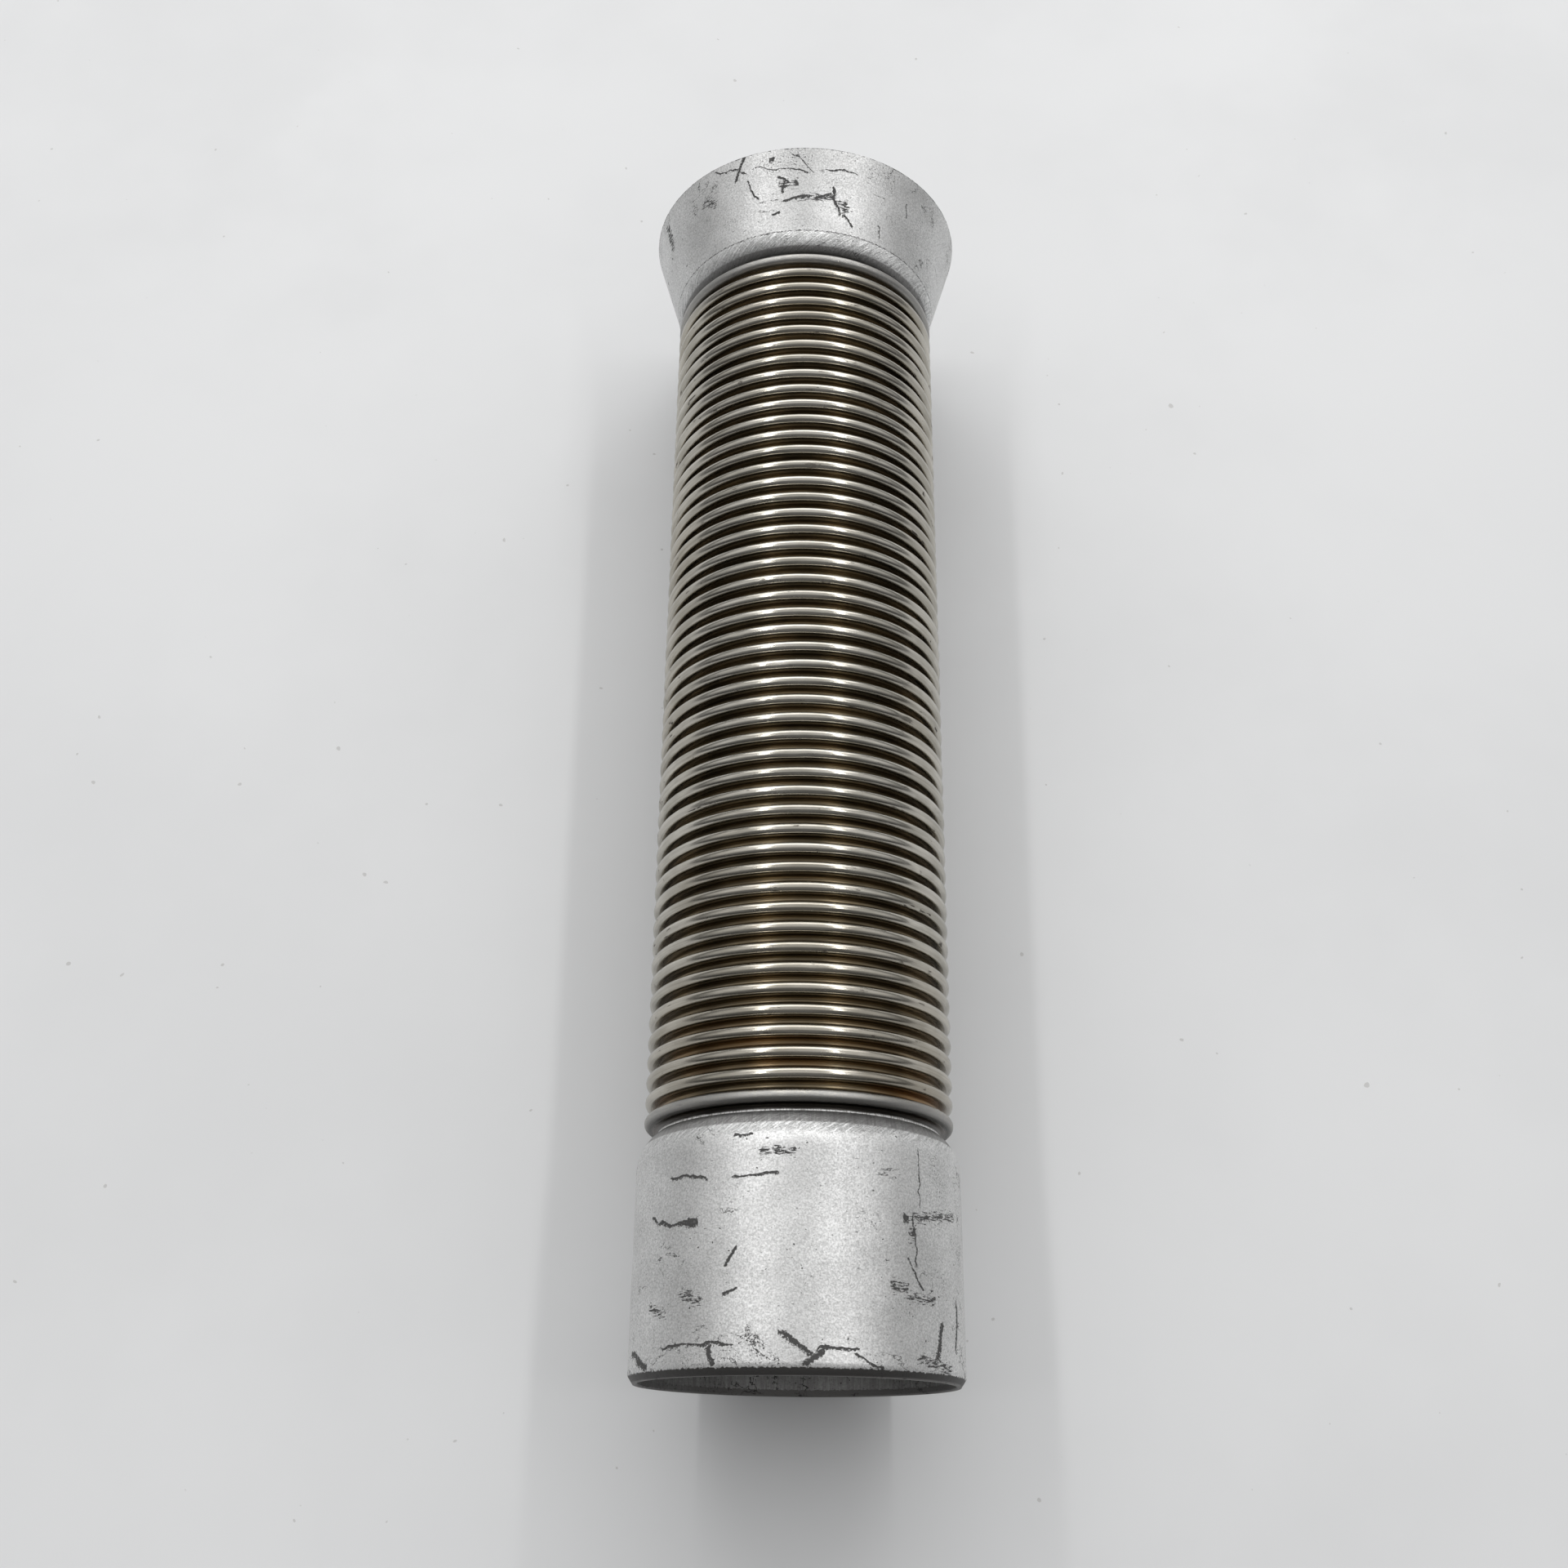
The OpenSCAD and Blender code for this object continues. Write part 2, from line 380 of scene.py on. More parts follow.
def weld_piece(name, node, body, at, towards_crest):
    """A ragged bead in the corner between the bellows' cuff and the front of a neck."""
    last_turn = 360 * (1 - 1 / WELD_POINTS)
    loop = arc(at + towards_crest * WELD_OUT, ROOT_R + WELD_UP, WELD_R, 0, last_turn, WELD_POINTS - 1)
    piece = lathe(name, loop, bead_unevenness, steps=3 * TURN_STEPS)
    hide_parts(node)
    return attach(piece, body)


def bend_between(piece, before, after, start_y, end_y):
    """Lets a piece bend at a joint: it follows the body before up to start_y, and after from end_y.

    It rides on the body after the joint, and a hook draws each point back to the body before.
    """
    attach(piece, after)
    held_back = piece.vertex_groups.new(name="held_back")
    for vertex in piece.data.vertices:
        share = min(max((end_y - vertex.co.y) / (end_y - start_y), 0.0), 1.0)
        held_back.add([vertex.index], share**2 * (3 - 2 * share), "REPLACE")
    hook = piece.modifiers.new("hook", "HOOK")
    hook.object = bpy.data.objects[f"body:{before}"]
    hook.vertex_group = held_back.name
    hook.falloff_type = "NONE"
    return piece


def tucked(line):
    """The same line with both ends drawn in by a hair, so that neighbouring pieces never touch."""
    (first_y, first_r), (last_y, last_r) = line[0], line[-1]
    return [(first_y + END_GAP, first_r)] + line[1:-1] + [(last_y - END_GAP, last_r)]


def bellows_piece(n, count, bodies):
    """The stretch of bellows that crosses cut n, from the middle of one pack to the next."""
    first, last = 2 * n - 1, 2 * n
    if n == 1:
        first = 0
    outside, inside = wave(first, last, 0), wave(first, last, PLY_WALL)
    if n == 1:
        cuff_at = FIRST_CREST - CUFF_END
        places = spread(cuff_at, outside[0][0], CUFF_STEPS)[:-1]
        outside = [(y, ROOT_R) for y in places] + outside
        inside = [(y, ROOT_R - PLY_WALL) for y in places] + inside
    if n == count:
        cuff_at = LAST_CREST + CUFF_END
        places = spread(outside[-1][0], cuff_at, CUFF_STEPS)[1:]
        outside += [(y, ROOT_R) for y in places]
        inside += [(y, ROOT_R - PLY_WALL) for y in places]
    loop = tucked(outside) + tucked(inside)[::-1]
    piece = lathe(f"bellows_fold_{n:02d}", loop, crest_unevenness)
    replaced = "bellows_flare_end" if n == count else f"bellows_pack_{n:02d}"
    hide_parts(replaced)
    if n == 1:
        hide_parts("bellows_sleeve_end")
    return bend_between(piece, *bodies, cut_y(n) - PITCH, cut_y(n) + PITCH)


# ---- Shader helpers ----

# Where a stroke is full and where it has faded, in halves of its length and of its width
STROKE_ENDS = (0.80, 1.15)
STROKE_SIDES = (0.0, 2.4)
MM_PER_METRE = 1000.0


class Shader:
    """Builds one node material. Each method adds a node and returns its output socket."""

    def __init__(self, name):
        self.material = bpy.data.materials.new(name)
        self.material.use_nodes = True
        self.tree = self.material.node_tree
        self.tree.nodes.clear()
        self.output = self.tree.nodes.new("ShaderNodeOutputMaterial")

    def node(self, kind, inputs=(), **settings):
        made = self.tree.nodes.new(kind)
        for key, value in settings.items():
            setattr(made, key, value)
        for key, value in dict(inputs).items():
            if isinstance(value, bpy.types.NodeSocket):
                self.tree.links.new(value, made.inputs[key])
            else:
                made.inputs[key].default_value = value
        return made

    def math(self, operation, *values):
        return self.node("ShaderNodeMath", dict(enumerate(values)), operation=operation).outputs[0]

    def plus(self, one, other):
        return self.math("ADD", one, other)

    def minus(self, one, other):
        return self.math("SUBTRACT", one, other)

    def times(self, one, other):
        return self.math("MULTIPLY", one, other)

    def larger(self, one, other):
        return self.math("MAXIMUM", one, other)

    def smaller(self, one, other):
        return self.math("MINIMUM", one, other)

    def gap(self, one, other):
        """How far two numbers lie apart."""
        return self.math("ABSOLUTE", self.minus(one, other))

    def ramp(self, value, low, high, out_low=0.0, out_high=1.0):
        """Turns low..high into out_low..out_high with soft ends, and holds outside them."""
        inputs = {0: value, 1: low, 2: high, 3: out_low, 4: out_high}
        settings = {"interpolation_type": "SMOOTHSTEP"}
        return self.node("ShaderNodeMapRange", inputs, **settings).outputs[0]

    def mix(self, share, one, other):
        """Mixes two colours."""
        inputs = {0: share, 6: one, 7: other}
        return self.node("ShaderNodeMix", inputs, data_type="RGBA").outputs[2]

    def blend_value(self, share, one, other):
        """Mixes two numbers."""
        return self.node("ShaderNodeMix", {0: share, 2: one, 3: other}, data_type="FLOAT").outputs[0]

    def noise(self, place, scale, detail=4.0, roughness=0.55, distortion=0.0):
        inputs = {
            "Vector": place,
            "Scale": scale,
            "Detail": detail,
            "Roughness": roughness,
            "Distortion": distortion,
        }
        return self.node("ShaderNodeTexNoise", inputs).outputs[0]

    def stretched(self, place, factors, slant=0.0):
        """A place turned by slant degrees and scaled along each axis, for grain that runs one way."""
        if slant:
            inputs = {"Vector": place, "Angle": -math.radians(slant)}
            place = self.node("ShaderNodeVectorRotate", inputs, rotation_type="Z_AXIS").outputs[0]
        inputs = {"Vector": place, "Scale": factors}
        return self.node("ShaderNodeMapping", inputs, vector_type="POINT").outputs[0]

    def bump(self, height):
        """A normal from a height in millimetres."""
        inputs = {"Height": height, "Distance": MM, "Strength": 1.0}
        return self.node("ShaderNodeBump", inputs).outputs[0]

    def shaded(self, colour, value):
        """A colour made lighter or darker by a factor."""
        return self.node("ShaderNodeHueSaturation", {"Color": colour, "Value": value}).outputs[0]

    def stroke(self, surface, across, along, length, width, slant):
        """A straight stroke on the unrolled surface: 1 along its middle, fading to 0 at its sides.

        Each side is measured with a dot product, which takes little of the renderer's memory.
        """
        turn = math.radians(slant)
        edges = []
        for size, (full, faded), rule in (
            (length / 2, STROKE_ENDS, (math.cos(turn), math.sin(turn))),
            (width / 2, STROKE_SIDES, (-math.sin(turn), math.cos(turn))),
        ):
            ruler = (rule[0] / size, rule[1] / size, 0)
            inputs = {0: surface, 1: ruler}
            place = self.node("ShaderNodeVectorMath", inputs, operation="DOT_PRODUCT").outputs["Value"]
            middle = across * ruler[0] + along * ruler[1]
            edges.append(self.ramp(self.gap(place, middle), full, faded, 1.0, 0.0))
        return self.times(*edges)

    def strokes(self, surface, strokes):
        """The strongest of several strokes. Each is (across, along, length, width, slant)."""
        mask = 0.0
        for stroke in strokes:
            mask = self.larger(mask, self.stroke(surface, *stroke))
        return mask

    def between(self, value, span, soft_low, soft_high):
        """1 inside a span and 0 outside it, with each end as soft as it is told."""
        low, high = span
        past_low = self.ramp(value, low - soft_low, low + soft_low)
        return self.times(past_low, self.ramp(value, high - soft_high, high + soft_high, 1, 0))

    def surface(self, **inputs):
        named = {key.replace("_", " "): value for key, value in inputs.items()}
        shader = self.node("ShaderNodeBsdfPrincipled", named)
        self.tree.links.new(shader.outputs[0], self.output.inputs[0])
        return self.material

    def places(self, attribute="rest"):
        """Where a point lies at rest, in millimetres: (place, along, radius, unrolled surface)."""
        if attribute:
            source = self.node("ShaderNodeAttribute", attribute_name=attribute).outputs["Vector"]
        else:
            source = self.node("ShaderNodeTexCoord").outputs["Object"]
        inputs = {0: source, "Scale": MM_PER_METRE}
        place = self.node("ShaderNodeVectorMath", inputs, operation="SCALE").outputs[0]
        x, along, z = self.node("ShaderNodeSeparateXYZ", {0: place}).outputs[:3]
        radius = self.math("SQRT", self.plus(self.times(x, x), self.times(z, z)))
        turn = self.math("ARCTAN2", x, z)
        across = self.times(turn, radius)
        unrolled = self.node("ShaderNodeCombineXYZ", {0: across, 1: along}).outputs[0]
        return place, along, radius, unrolled


# ---- Materials ----

# In the materials below, lengths are in millimetres, noise scales are in waves per millimetre, and
# the first two limits of a ramp over noise are levels between 0 and 1.

RUBBED_SIDE = 56.0  # mm round the pipe from the top
NO_CREASE = -9.0  # off the sleeve's open end, so that no line shows
# Dark of the scratches, also used for the painted shade in the flare's crease
DARK_MARK_AND_CREASE_SHADE = (0.028, 0.027, 0.026, 1)
PAINT_LIGHT = (0.70, 0.70, 0.695, 1)
PAINT_DULL = (0.61, 0.61, 0.605, 1)
PAINT_INSIDE = (0.25, 0.245, 0.24, 1)
BARE_EDGE = (0.050, 0.048, 0.046, 1)
END_FACE = (0.17, 0.165, 0.16, 1)
STEEL_CREST = ((0.41, 0.39, 0.34, 1), (0.56, 0.535, 0.48, 1))
# Root colours: brown oxide, made darker still as painted shade down in the grooves
STEEL_ROOT_OXIDE_AND_SHADE = ((0.10, 0.082, 0.055, 1), (0.185, 0.145, 0.09, 1))
HEAT_GOLD = (0.29, 0.235, 0.155, 1)
HEAT_AMBER = (0.27, 0.155, 0.065, 1)
OVERSPRAY = (0.33, 0.33, 0.33, 1)
STEEL_SCUFF = (0.07, 0.06, 0.05, 1)
# Painted shade: near black for the gaps between the outermost crests and the necks
NECK_GAP_SHADE = (0.03, 0.027, 0.024, 1)
WELD_LAP = (0.42, 0.41, 0.39, 1)
WELD_BRIGHT = (0.90, 0.90, 0.89, 1)
LINER_CLEAN = (0.44, 0.41, 0.37, 1)
LINER_SOOTY = (0.22, 0.18, 0.14, 1)
TABLE_PALE = (0.74, 0.745, 0.75, 1)
TABLE_SMUDGED = (0.71, 0.715, 0.72, 1)
TABLE_SPECK = (0.30, 0.28, 0.26, 1)


def paint_marks(shader, place, unrolled, wear, scratches, patches):
    """Where the paint is scratched: ragged strokes, patches of dashes, cracks, scuffs and specks.

    Cracks and scuffs come in zones, and wear widens those zones near a rim or a rubbed side.
    """
    chips = shader.noise(unrolled, 1.5, 4, 0.75)
    wander = shader.times(shader.noise(unrolled, 0.16, 3), 4.0)
    drift = shader.minus(shader.plus(wander, chips), 2.5)
    drift = shader.node("ShaderNodeCombineXYZ", {0: drift, 1: drift}).outputs[0]
    shaken = shader.node("ShaderNodeVectorMath", {0: unrolled, 1: drift}, operation="ADD").outputs[0]

    ragged = shader.times(shader.minus(chips, 0.5), 2.3)
    drawn = shader.ramp(shader.plus(shader.strokes(shaken, scratches), ragged), 0.63, 0.70)
    dashes = shader.noise(shader.stretched(unrolled, (0.40, 1.7, 1)), 1.0, 4, 0.7)
    density = shader.times(shader.strokes(unrolled, patches), 0.19)
    dashed = shader.ramp(shader.plus(dashes, density), 0.655, 0.685)

    crack_field = shader.noise(shader.stretched(unrolled, (0.06, 0.10, 1)), 1.0, 6, 0.62, 0.4)
    crack_zone = shader.ramp(shader.plus(shader.noise(unrolled, 0.055, 3, 0.5), wear), 0.60, 0.65)
    crack = shader.times(shader.ramp(shader.gap(crack_field, 0.5), 0.003, 0.009, 1, 0), crack_zone)

    scuff_zone = shader.plus(shader.noise(unrolled, 0.075, 3, 0.55, 0.3), wear)
    scuff_zone = shader.ramp(scuff_zone, 0.55, 0.68, 0.0, 0.14)
    scuff = shader.ramp(shader.plus(chips, scuff_zone), 0.71, 0.75)

    specks = shader.ramp(shader.noise(place, 0.8, 2, 0.5), 0.72, 0.75)
    marks = drawn
    for more in (dashed, crack, scuff, specks):
        marks = shader.larger(marks, more)
    return marks


def paint_wear(shader, along, unrolled, rim_at):
    """How worn the paint is: most at the open rim, and along the side that rubbed."""
    turned = shader.node("ShaderNodeSeparateXYZ", {0: unrolled}).outputs[0]
    at_rim = shader.ramp(shader.gap(along, rim_at), 3.0, 18.0, 0.10, 0.0)
    at_side = shader.ramp(shader.gap(turned, RUBBED_SIDE), 4, 16, 0.09, 0)
    return shader.larger(at_rim, at_side)


def paint_material(name, outer_r, rim_at, bare_end, ground_span, neck_shade, crease_at, scratches, patches):
    """Heat-resistant silver paint: fine grain, orange peel, grinding marks under it, dark scratches.

    Places along the pipe and radii are in millimetres. outer_r is the fitting's straight radius and
    rim_at its open end. bare_end bounds the cut edge, and ground_span the ground part of the
    shoulder. Down in the neck the paint is darkened to neck_shade as painted shade, and a thin dark
    line of painted shade runs round the crease at crease_at, which may lie off the fitting.
    """
    shader = Shader(name)
    place, along, radius, unrolled = shader.places()
    flake = shader.noise(place, 1.6, 4, 0.75)
    peel = shader.noise(place, 0.95, 3, 0.6)
    cloud = shader.noise(place, 0.05, 4, 0.6)
    wear = paint_wear(shader, along, unrolled, rim_at)
    marks = paint_marks(shader, place, unrolled, wear, scratches, patches)

    wobble = shader.minus(shader.times(shader.noise(unrolled, 0.9, 4), 1.6), 0.8)
    edge_place = shader.plus(along, wobble)
    bare = shader.between(edge_place, bare_end, 0.15, 0.15)
    bare = shader.times(bare, shader.ramp(radius, outer_r - 3.2, outer_r - 3.0))
    on_chamfer = shader.ramp(radius, outer_r - 1.6, outer_r - 1.3)
    inside = shader.ramp(radius, outer_r - 2.2, outer_r - 1.8, 1, 0)
    # Painted shade: a thin broken dark line round the crease at crease_at
    crease_shade = shader.ramp(shader.gap(edge_place, crease_at), 0.10, 0.35, 1, 0)
    crease_shade = shader.times(crease_shade, shader.ramp(peel, 0.40, 0.55, 0.3, 0.9))

    grind = shader.noise(shader.stretched(unrolled, (0.15, 1.5, 1), slant=36), 1.0, 4, 0.75)
    on_shoulder = shader.between(along, ground_span, 1.5, 0.5)
    grind = shader.times(shader.ramp(grind, 0.38, 0.62, -1.0, 1.0), on_shoulder)

    neck_r = NECK_EDGE_R / MM
    grain = shader.plus(shader.ramp(flake, 0.34, 0.66, -0.24, 0.19), shader.times(grind, 0.22))
    # Painted shade: the paint darkens towards neck_shade down in the neck
    neck_painted_shade = shader.ramp(radius, neck_r, neck_r + 4.5, neck_shade, 1.0)
    streaks = shader.noise(shader.stretched(unrolled, (1.3, 0.12, 1)), 1.0, 4, 0.7)
    sooty = shader.times(inside, shader.ramp(streaks, 0.3, 0.7, 1, 0.6))
    colour = shader.mix(shader.ramp(cloud, 0.35, 0.65), PAINT_DULL, PAINT_LIGHT)
    colour = shader.shaded(colour, shader.times(shader.plus(1.0, grain), neck_painted_shade))
    colour = shader.mix(sooty, colour, PAINT_INSIDE)
    colour = shader.mix(bare, colour, shader.mix(on_chamfer, END_FACE, BARE_EDGE))
    colour = shader.mix(crease_shade, colour, DARK_MARK_AND_CREASE_SHADE)
    colour = shader.mix(shader.times(marks, 0.94), colour, DARK_MARK_AND_CREASE_SHADE)

    roughness = shader.ramp(flake, 0.3, 0.7, 0.50, 0.38)
    roughness = shader.blend_value(marks, roughness, 0.62)
    roughness = shader.blend_value(bare, roughness, 0.5)
    unpainted = shader.larger(marks, shader.times(bare, 0.7))
    metallic = shader.blend_value(unpainted, 0.82, 0.25)

    height = shader.plus(shader.times(flake, 0.06), shader.times(peel, 0.085))
    height = shader.plus(height, shader.times(grind, 0.05))
    height = shader.minus(height, shader.times(marks, 0.04))
    normal = shader.bump(height)
    return shader.surface(Base_Color=colour, Metallic=metallic, Roughness=roughness, Normal=normal)


def amber_tint(shader, along, unrolled, height):
    """Amber from the heat of welding, in patches down in the roots beside the sleeve."""
    near_sleeve = shader.ramp(along, FIRST_CREST / MM + 3, FIRST_CREST / MM + 34, 1, 0)
    patches = shader.noise(shader.stretched(unrolled, (0.018, 0.07, 1)), 1.0, 3)
    amber = shader.times(near_sleeve, shader.ramp(patches, 0.44, 0.66))
    return shader.times(amber, shader.ramp(height, 0.1, 0.9, 0.75, 0.05))


def crest_scuffs(shader, unrolled, smear, height):
    """Dark rubbed smears on the tops of the crests, here and there."""
    zone = shader.ramp(shader.noise(unrolled, 0.13, 3), 0.56, 0.64)
    scuff = shader.times(shader.ramp(smear, 0.57, 0.61), zone)
    return shader.times(scuff, shader.ramp(height, 0.7, 0.95))


def overspray(shader, along, unrolled, grain, height):
    """Silver paint that drifted from the ends onto the outermost crests, mostly on their tops."""
    first, last = FIRST_CREST / MM, LAST_CREST / MM
    drift = shader.times(shader.minus(shader.noise(unrolled, 0.12, 4), 0.5), 7.0)
    drifted = shader.plus(along, drift)
    by_sleeve = shader.ramp(drifted, first, first + 4, 1, 0)
    by_flare = shader.ramp(drifted, last - 9, last - 1)
    spray = shader.larger(by_sleeve, by_flare)
    spray = shader.times(spray, shader.ramp(height, 0.2, 0.8, 0.1, 0.9))
    return shader.times(spray, shader.ramp(grain, 0.38, 0.58, 0.45, 1.0))


def steel_material():
    """Formed stainless steel: bright warm crests, brown oxide in the roots darkened further as painted
    shade, fine drawing lines round the pipe.
    """
    shader = Shader("bellows_steel")
    place, along, radius, unrolled = shader.places()
    across = shader.node("ShaderNodeSeparateXYZ", {0: unrolled}).outputs[0]
    wound = shader.node("ShaderNodeCombineXYZ", {0: across, 1: along, 2: radius}).outputs[0]
    height = shader.ramp(radius, ROOT_R / MM + 0.8, CREST_R / MM - 0.7)
    blotch = shader.noise(shader.stretched(wound, (0.05, 0.16, 0.16)), 1.0, 5, 0.6)
    rings = shader.noise(shader.stretched(wound, (0.012, 2.4, 2.4)), 1.0, 4, 0.7)
    smear = shader.noise(shader.stretched(wound, (0.10, 0.9, 0.9)), 1.0, 5, 0.7)
    grain = shader.noise(place, 3.0, 4, 0.7)
    amber = amber_tint(shader, along, unrolled, height)
    scuff = crest_scuffs(shader, unrolled, smear, height)
    spray = overspray(shader, along, unrolled, grain, height)

    blotch = shader.ramp(blotch, 0.35, 0.65)
    gold = shader.ramp(shader.noise(place, 0.013, 2), 0.42, 0.62, 0.0, 0.2)
    lines = shader.ramp(rings, 0.36, 0.64, -1.0, 1.0)
    line_strength = shader.ramp(height, 0.0, 1.0, 0.42, 0.12)
    first, last = FIRST_CREST / MM, LAST_CREST / MM
    # Painted shade: beyond these limits, in the gaps by the two necks, the steel turns near black
    past_sleeve_neck = shader.ramp(along, first - 2.6, first - 0.6)
    before_flare_neck = shader.ramp(along, last + 0.6, last + 2.6, 1, 0)
    clear_of_neck_gap_shade = shader.smaller(past_sleeve_neck, before_flare_neck)
    # Darker towards the roots: oxide tone plus painted shade in the grooves
    colour = shader.mix(height, shader.mix(blotch, *STEEL_ROOT_OXIDE_AND_SHADE), shader.mix(blotch, *STEEL_CREST))
    colour = shader.mix(gold, colour, HEAT_GOLD)
    colour = shader.shaded(colour, shader.plus(1.0, shader.times(lines, line_strength)))
    colour = shader.mix(amber, colour, HEAT_AMBER)
    colour = shader.mix(shader.times(scuff, 0.85), colour, STEEL_SCUFF)
    colour = shader.mix(spray, colour, OVERSPRAY)
    colour = shader.mix(shader.minus(1.0, clear_of_neck_gap_shade), colour, NECK_GAP_SHADE)

    roughness = shader.ramp(smear, 0.3, 0.7, 0.16, 0.23)
    roughness = shader.blend_value(shader.minus(1.0, height), roughness, 0.28)
    roughness = shader.blend_value(spray, roughness, 0.42)
    roughness = shader.blend_value(scuff, roughness, 0.55)
    bumps = shader.plus(shader.times(rings, 0.009), shader.times(grain, 0.003))
    bumps = shader.plus(bumps, shader.times(shader.times(grain, spray), 0.05))
    normal = shader.bump(bumps)
    return shader.surface(Base_Color=colour, Metallic=1.0, Roughness=roughness, Normal=normal)


def weld_material():
    """Bright fusion weld with darker laps."""
    shader = Shader("weld_metal")
    place, _, _, unrolled = shader.places()
    laps = shader.noise(shader.stretched(unrolled, (1.4, 0.5, 1)), 1.0, 4, 0.6)
    grain = shader.noise(place, 3.0, 4, 0.7)
    colour = shader.mix(shader.ramp(laps, 0.35, 0.6), WELD_LAP, WELD_BRIGHT)
    roughness = shader.ramp(grain, 0.3, 0.7, 0.34, 0.52)
    normal = shader.bump(shader.plus(shader.times(laps, 0.08), shader.times(grain, 0.03)))
    return shader.surface(Base_Color=colour, Metallic=0.6, Roughness=roughness, Normal=normal)


def liner_material():
    """Rolled strip, brown from heat, with drawing lines round the pipe and a film of soot."""
    shader = Shader("liner_steel")
    place, _, _, unrolled = shader.places(attribute=None)
    rings = shader.noise(shader.stretched(unrolled, (0.03, 4.0, 1)), 1.0, 3, 0.6)
    soot = shader.ramp(shader.noise(place, 0.06, 4, 0.6), 0.4, 0.65)
    colour = shader.mix(soot, LINER_CLEAN, LINER_SOOTY)
    roughness = shader.ramp(rings, 0.3, 0.7, 0.28, 0.44)
    normal = shader.bump(shader.times(rings, 0.015))
    return shader.surface(Base_Color=colour, Metallic=1.0, Roughness=roughness, Normal=normal)


def floor_material():
    """A pale table top with faint smudges and the odd speck of dust."""
    shader = Shader("pale_table")
    place = shader.places(attribute=None)[0]
    smudge = shader.ramp(shader.noise(place, 0.004, 5, 0.6), 0.35, 0.7)
    colour = shader.mix(smudge, TABLE_PALE, TABLE_SMUDGED)
    speck = shader.ramp(shader.noise(place, 0.25, 1, 0.3), 0.80, 0.82)
    colour = shader.mix(shader.times(speck, 0.4), colour, TABLE_SPECK)
    roughness = shader.ramp(smudge, 0, 1, 0.42, 0.52)
    return shader.surface(Base_Color=colour, Roughness=roughness, Metallic=0.0)


def paint_on(piece, material):
    piece.data.materials.clear()
    piece.data.materials.append(material)


# Scratches and scuffed patches on the paint, as (across, along, length, width, slant in degrees).
# Across is measured round the pipe from the top and along from the sleeve's open end.
SLEEVE_SCRATCHES = [
    (-35, 54.5, 16, 1.2, -6),
    (-13, 54, 15, 0.9, 3),
    (-17, 65.5, 6, 0.9, -2),
    (-50, 44, 5, 0.8, -25),
    (-40, 42, 18, 1.2, -4),
    (-33, 42, 5, 2.4, 0),
    (33, 43.5, 2.8, 2.4, 0),
    (36.5, 28.5, 12, 0.7, -60),
    (38.5, 55.5, 19, 0.5, 90),
    (36.5, 38, 16, 0.5, -86),
    (-20, 31.5, 7, 1.0, 56),
    (-20, 22, 5, 0.9, 18),
    (-31.5, 8.2, 28, 0.9, 0),
    (-58, 5.5, 15, 2.2, -22),
    (-25.5, 5, 6, 1.5, -72),
    (-1, 8.3, 12, 1.7, -31),
    (4, 4.5, 8, 1.8, 35),
    (11, 7, 13, 0.9, 0),
    (20, 4, 10, 0.7, -24),
    (46.5, 10.5, 11, 1.9, 74),
    (58, 16, 16, 1.3, 86),
]
SLEEVE_PATCHES = [
    (-6.5, 60.5, 11, 2.4, 0),
    (47, 45.5, 26, 2.6, 8),
    (35, 39.5, 3, 4, 0),
    (30, 24.5, 7, 3, -14),
    (39, 21.7, 13, 2.6, 1),
    (-33, 21, 9, 3, -23),
    (-47, 18, 10, 2.4, -19),
    (45, 4.5, 18, 3, -8),
]
FLARE_SCRATCHES = [
    (-26.5, 424, 10, 1.3, 66),
    (-30, 425, 17, 0.5, -17),
    (-10, 421, 23, 0.5, -10),
    (-1.5, 423, 12, 0.5, -38),
    (13, 421, 13, 0.5, 0),
    (-20.5, 415, 11, 0.8, -68),
    (-9, 417, 6, 1.0, -19),
    (-9, 414, 5, 1.0, 82),
    (-4, 409.5, 12, 0.9, 9),
    (6, 411, 7, 0.9, 21),
    (11, 409.5, 12, 1.1, -78),
    (15, 402.5, 6, 1.1, -49),
    (-12, 404, 3.5, 1.0, 19),
    (-13.5, 425, 2.2, 1.8, 0),
    (28, 402.5, 5, 0.5, -84),
    (41.5, 416, 6, 0.5, 88),
]
FLARE_PATCHES = [
    (-40, 417, 8, 3.2, -25),
    (-7, 415, 8, 3, 5),
    (4, 410, 15, 2.4, 5),
    (14, 408, 5, 4, -70),
    (-68, 420, 12, 3.4, -73),
]

# ---- Build ----

bodies = ["sleeve_end"] + [joint["child"] for joint in frame["joints"]]
cut_count = len(frame["joints"])

sleeve = sleeve_piece()
flare = flare_piece()
sleeve_weld = weld_piece("sleeve_weld_bead", "sleeve_weld", "sleeve_end", SLEEVE_NECK_AT, 1)
flare_weld = weld_piece("flare_weld_bead", "flare_weld", "flare_end", FLARE_NECK_AT, -1)
folds = [bellows_piece(n, cut_count, bodies[n - 1 : n + 1]) for n in range(1, cut_count + 1)]

sleeve_paint = paint_material(
    "sleeve_paint",
    outer_r=SLEEVE_R / MM,
    rim_at=0.0,
    bare_end=(-2, CHAMFER_LENGTH / MM - 0.3),
    ground_span=(SLEEVE_NECK_AT / MM - 7, SLEEVE_NECK_AT / MM + 1),
    neck_shade=0.8,
    crease_at=NO_CREASE,
    scratches=SLEEVE_SCRATCHES,
    patches=SLEEVE_PATCHES,
)
flare_paint = paint_material(
    "flare_paint",
    outer_r=FLARE_CORNER_R / MM,
    rim_at=PIPE_END / MM,
    bare_end=(PIPE_END / MM - 0.5, PIPE_END / MM + 2),
    ground_span=(LAST_CREST / MM, (LAST_CREST + FLARE_SHOULDER_END) / MM),
    neck_shade=0.12,
    crease_at=(LAST_CREST + FLARE_SHOULDER_END) / MM,
    scratches=FLARE_SCRATCHES,
    patches=FLARE_PATCHES,
)
steel = steel_material()
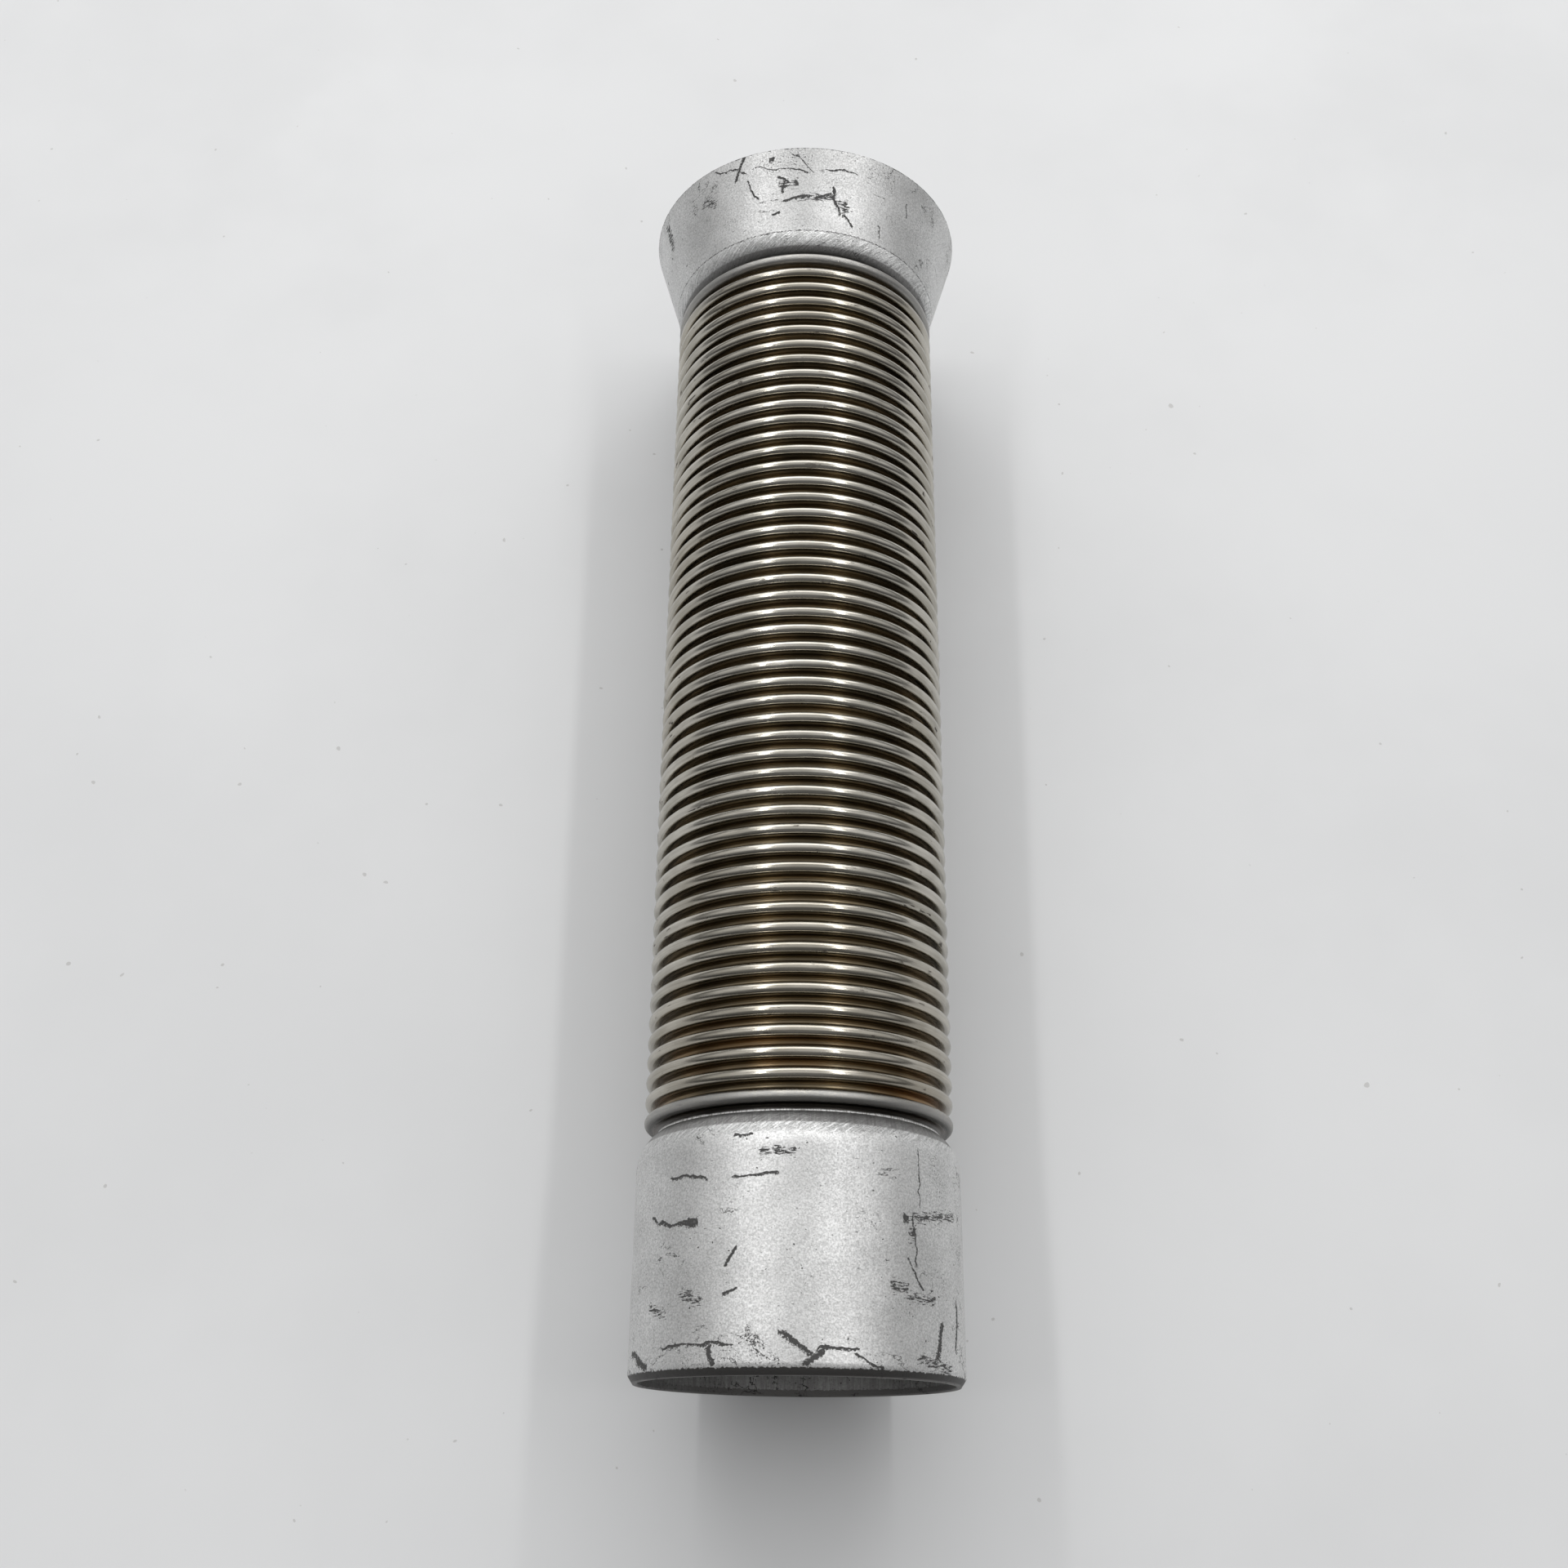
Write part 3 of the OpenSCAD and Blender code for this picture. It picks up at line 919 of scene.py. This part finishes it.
weld = weld_material()
liner = liner_material()

paint_on(sleeve, sleeve_paint)
paint_on(flare, flare_paint)
paint_on(sleeve_weld, weld)
paint_on(flare_weld, weld)
for fold in folds:
    paint_on(fold, steel)
for name, node in frame["nodes"].items():
    if name.startswith("liner"):
        node.data.materials.clear()
        node.data.materials.append(liner)

# ---- Table, light and camera ----

FLOOR_SLOPE = (FLARE_RIM_R - SLEEVE_R) / (PIPE_END - CHAMFER_LENGTH)
FLOOR_SIZE = 9.0
TUBE_PLACE = (0.80, 1.3, 1.5)
TUBE_SIZE = (0.09, 3.0)
TUBE_WATTS = 9
PANEL_PLACE = (0, 5.6, 3.4)
PANEL_SIZE = (8.0, 4.0)
PANEL_WATTS = 160
PANEL_TILT = -math.radians(57)
CAMERA_PLACE = Vector((-0.006, -0.032, 0.524))
CAMERA_TILT = math.radians(23.6)
CAMERA_ROLL = math.radians(0.7)
CAMERA_FIELD = math.radians(50.9)
# How the room's glow changes with direction: from, to, glow up to there, glow from there on
ROOM_FADES = {"Z": (0.05, 0.55, 0.20, 0.74), "Y": (-0.55, 0.10, 0.25, 1.0)}


def make_floor():
    """A table that touches both the sleeve's edge and the wider flare, so it slopes a little."""
    bpy.ops.mesh.primitive_plane_add(size=FLOOR_SIZE)
    floor = bpy.context.object
    floor.name = "table_top"
    floor.location = (0, 0, -SLEEVE_R + FLOOR_SLOPE * CHAMFER_LENGTH)
    floor.rotation_euler = (-math.atan(FLOOR_SLOPE), 0, 0)
    floor.data.materials.append(floor_material())
    keep_below_rim(floor)


def keep_below_rim(floor):
    """Lowers the table when the bellows bends down, so that the flare's rim never sinks into it."""
    rim = bpy.data.objects.new("lowest_rim", None)
    rim.location = (0, PIPE_END, -FLARE_RIM_R)
    rim.parent = bpy.data.objects["body:flare_end"]
    bpy.context.scene.collection.objects.link(rim)
    driver = floor.driver_add("location", 2).driver
    height = driver.variables.new()
    height.name = "height"
    height.type = "TRANSFORMS"
    height.targets[0].id = rim
    height.targets[0].transform_type = "LOC_Z"
    driver.expression = f"{floor.location.z:.5f} + min(0, height + {FLARE_RIM_R:.5f})"


def ceiling_light(name, place, size, watts, tilt=0.0):
    """A flat rectangular lamp that faces down, or down and towards the sleeve if it is tilted."""
    data = bpy.data.lights.new(name, "AREA")
    data.shape = "RECTANGLE"
    data.size, data.size_y = size
    data.energy = watts
    light = bpy.data.objects.new(name, data)
    light.location = place
    light.rotation_euler = (tilt, 0, 0)
    bpy.context.scene.collection.objects.link(light)


def make_lights():
    """Two long tubes parallel to the pipe and a soft panel between them, beyond the flare."""
    across, along, up = TUBE_PLACE
    ceiling_light("tube_left", (-across, along, up), TUBE_SIZE, TUBE_WATTS)
    ceiling_light("tube_right", (across, along, up), TUBE_SIZE, TUBE_WATTS)
    ceiling_light("panel", PANEL_PLACE, PANEL_SIZE, PANEL_WATTS, tilt=PANEL_TILT)


def make_room():
    """A pale ceiling over darker walls, and darkest of all where the photographer stands."""
    world = bpy.data.worlds.new("pale_room")
    world.use_nodes = True
    nodes, links = world.node_tree.nodes, world.node_tree.links
    direction = nodes.new("ShaderNodeSeparateXYZ")
    links.new(nodes.new("ShaderNodeTexCoord").outputs["Generated"], direction.inputs[0])
    glow = nodes.new("ShaderNodeMath")
    glow.operation = "MULTIPLY"
    for port, (axis, limits) in enumerate(ROOM_FADES.items()):
        fade = nodes.new("ShaderNodeMapRange")
        fade.interpolation_type = "SMOOTHSTEP"
        for key, value in enumerate(limits, start=1):
            fade.inputs[key].default_value = value
        links.new(direction.outputs[axis], fade.inputs[0])
        links.new(fade.outputs[0], glow.inputs[port])
    links.new(glow.outputs[0], nodes["Background"].inputs["Strength"])
    nodes["Background"].inputs["Color"].default_value = (1.0, 1.0, 1.0, 1)
    bpy.context.scene.world = world


def make_camera():
    """Above the sleeve's open end, tilted towards the flare, as the photographer held it."""
    data = bpy.data.cameras.new("camera")
    data.angle = CAMERA_FIELD
    camera = bpy.data.objects.new("camera", data)
    camera.location = CAMERA_PLACE
    turn = Matrix.Rotation(CAMERA_TILT, 3, "X") @ Matrix.Rotation(CAMERA_ROLL, 3, "Z")
    camera.rotation_euler = turn.to_euler()
    bpy.context.scene.collection.objects.link(camera)
    bpy.context.scene.camera = camera


make_floor()
make_lights()
make_room()
make_camera()

view_settings = bpy.context.scene.view_settings
view_settings.view_transform = "Standard"
